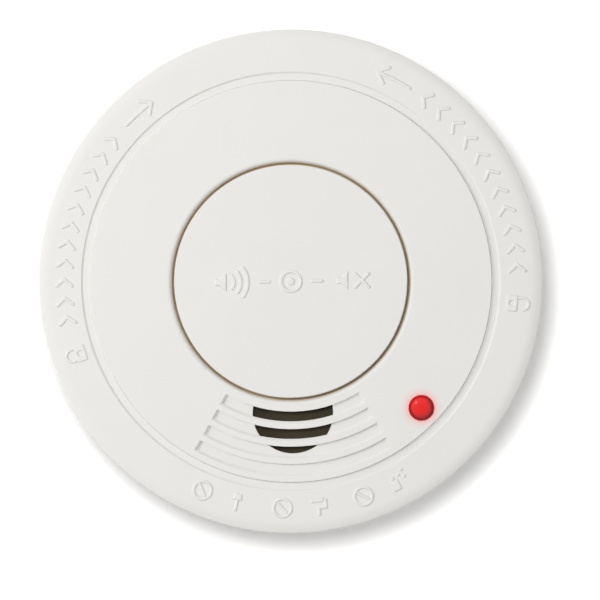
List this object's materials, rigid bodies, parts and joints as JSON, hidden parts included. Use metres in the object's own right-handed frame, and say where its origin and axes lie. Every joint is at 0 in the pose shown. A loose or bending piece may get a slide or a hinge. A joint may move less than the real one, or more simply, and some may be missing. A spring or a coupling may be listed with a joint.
{
  "type": "smoke detector",
  "caption": "Round battery smoke alarm on a twist-off ceiling bracket, with a central test button, curved sounder grille, red indicator lamp and vented skirt.",
  "frame": {"origin": "middle of the bracket's back face, which lies against the ceiling; z = 0 is the ceiling plane", "axes": "+Z out of the face into the room, along the axis of the body and button; -Y towards the sounder grille; the indicator lamp lies between +X and -Y"},
  "size_m": [0.102, 0.102, 0.037],
  "materials": {
    "bracket_plastic": "fine texture",
    "base_plastic": "fine texture",
    "cover_plastic": "fine texture",
    "button_plastic": "fine texture",
    "screw_steel": "zinc plated",
    "label_film": "satin film",
    "spring_steel": "bright",
    "switch_black": "satin",
    "plated_metal": "tinned",
    "actuator_plastic": "satin",
    "chassis_plastic": "plain",
    "horn_black": "satin",
    "disc_brass": "plain",
    "piezo_white": "silvered",
    "lamp_red": "clear tinted",
    "spacer_white": "plain",
    "chamber_black": "dead matt",
    "screen_mesh": "woven",
    "emitter_clear": "clear",
    "diode_black": "dark filter",
    "board_green": "solder mask",
    "chip_black": "moulded",
    "capacitor_sleeve": "shrunk sleeve",
    "ferrite": "matt",
    "copper_wire": "enamelled",
    "resistor_body": "glazed",
    "diode_glass": "glass",
    "battery_jacket": "satin",
    "cell_filling": "plain",
    "battery_end": "plain",
    "snap_vinyl": "soft vinyl",
    "wire_red": "insulated",
    "wire_black": "insulated"
  },
  "bodies": {
    "bracket": {"mounting_bracket": "bracket_plastic"},
    "head": {"base_housing": "base_plastic", "battery_case": "battery_jacket", "battery_cells": "cell_filling", "battery_end_plate": "battery_end", "battery_terminals": "plated_metal", "board_screws": "screw_steel", "button_spring": "spring_steel", "capacitors": "capacitor_sleeve", "chamber_base": "chamber_black", "chamber_cap": "chamber_black", "chip_resistors": "resistor_body", "circuit_board": "board_green", "coil_core": "ferrite", "coil_winding": "copper_wire", "cover_screws": "screw_steel", "detector_ic": "chip_black", "diode": "diode_glass", "front_cover": "cover_plastic", "horn_cap": "horn_black", "horn_contacts": "plated_metal", "horn_ring": "horn_black", "ic_pins": "plated_metal", "inner_chassis": "chassis_plastic", "insect_screen": "screen_mesh", "ir_emitter": "emitter_clear", "lamp_leads": "plated_metal", "lamp_lens": "lamp_red", "lamp_spacer": "spacer_white", "lead_black": "wire_black", "lead_red": "wire_red", "optic_leads": "plated_metal", "photodiode": "diode_black", "piezo_ceramic": "piezo_white", "piezo_disc": "disc_brass", "rating_label": "label_film", "snap_connector": "snap_vinyl", "snap_terminals": "plated_metal", "switch_body": "switch_black", "switch_frame": "plated_metal", "switch_pins": "plated_metal", "transistor": "chip_black"},
    "button": {"test_button": "button_plastic"},
    "actuator": {"switch_actuator": "actuator_plastic"}
  },
  "joints": [
    {"name": "head_twist", "type": "hinge", "parent": "bracket", "child": "head", "pos_m": [0, 0, 0.004], "axis": [0, 0, 1], "range_deg": [0, 20]},
    {"name": "button_press", "type": "slide", "parent": "head", "child": "button", "axis": [0, 0, -1], "range_m": [0, 0.001], "stiffness_N_per_m": 1500, "springref_m": -0.001, "deforming": ["button_spring"]},
    {"name": "switch_press", "type": "slide", "parent": "head", "child": "actuator", "axis": [0, 0, -1], "range_m": [0, 0.001]}
  ],
  "couplings": [
    {"joint": "switch_press", "follows": "button_press", "ratio": 1}
  ]
}
